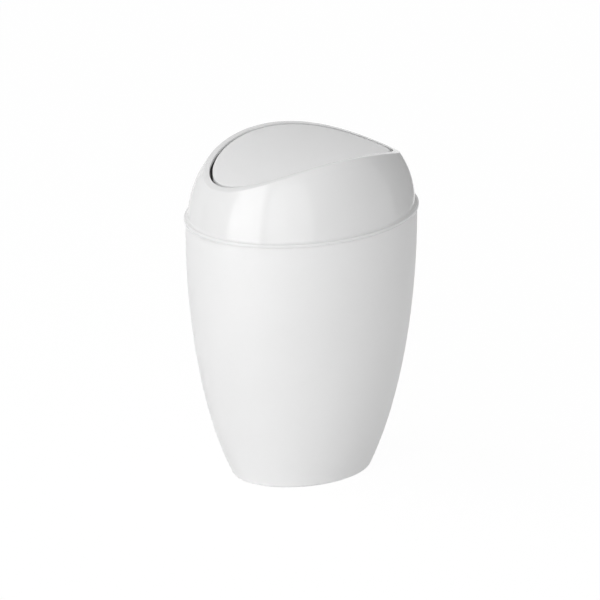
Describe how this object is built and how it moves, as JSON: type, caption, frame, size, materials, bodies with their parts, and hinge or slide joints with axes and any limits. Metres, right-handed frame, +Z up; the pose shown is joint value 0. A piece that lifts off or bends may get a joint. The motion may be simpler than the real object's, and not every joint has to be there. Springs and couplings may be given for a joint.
{
  "type": "countertop trash can with swing lid",
  "caption": "Oval countertop waste bin with a gloss domed cover and an arched swing flap that tips either way on side pins; the cover lifts off so that the body can be emptied.",
  "frame": {"origin": "middle of the foot, on the surface that the bin stands on", "axes": "+Z up; +X along the long axis of the oval plan; +Y towards the back along its short axis, which is also the hinge line"},
  "size_m": [0.158, 0.1272, 0.2166],
  "materials": {
    "body_plastic": "satin white moulded polypropylene",
    "cover_plastic": "polished white moulded polypropylene",
    "flap_plastic": "satin white moulded polypropylene",
    "pin_plastic": "natural white acetal, as moulded"
  },
  "bodies": {
    "body": {"bin_body": "body_plastic"},
    "cover": {"dome_cover": "cover_plastic", "hinge_pin_front": "pin_plastic", "hinge_pin_back": "pin_plastic"},
    "flap": {"swing_flap": "flap_plastic"}
  },
  "joints": [
    {"name": "cover_lift", "type": "slide", "parent": "body", "child": "cover", "axis": [0, 0, 1], "range_m": [0, 0.06]},
    {"name": "flap_swing", "type": "hinge", "parent": "cover", "child": "flap", "pos_m": [0, 0, 0.2122], "axis": [0, 1, 0], "range_deg": [-90, 90]}
  ]
}
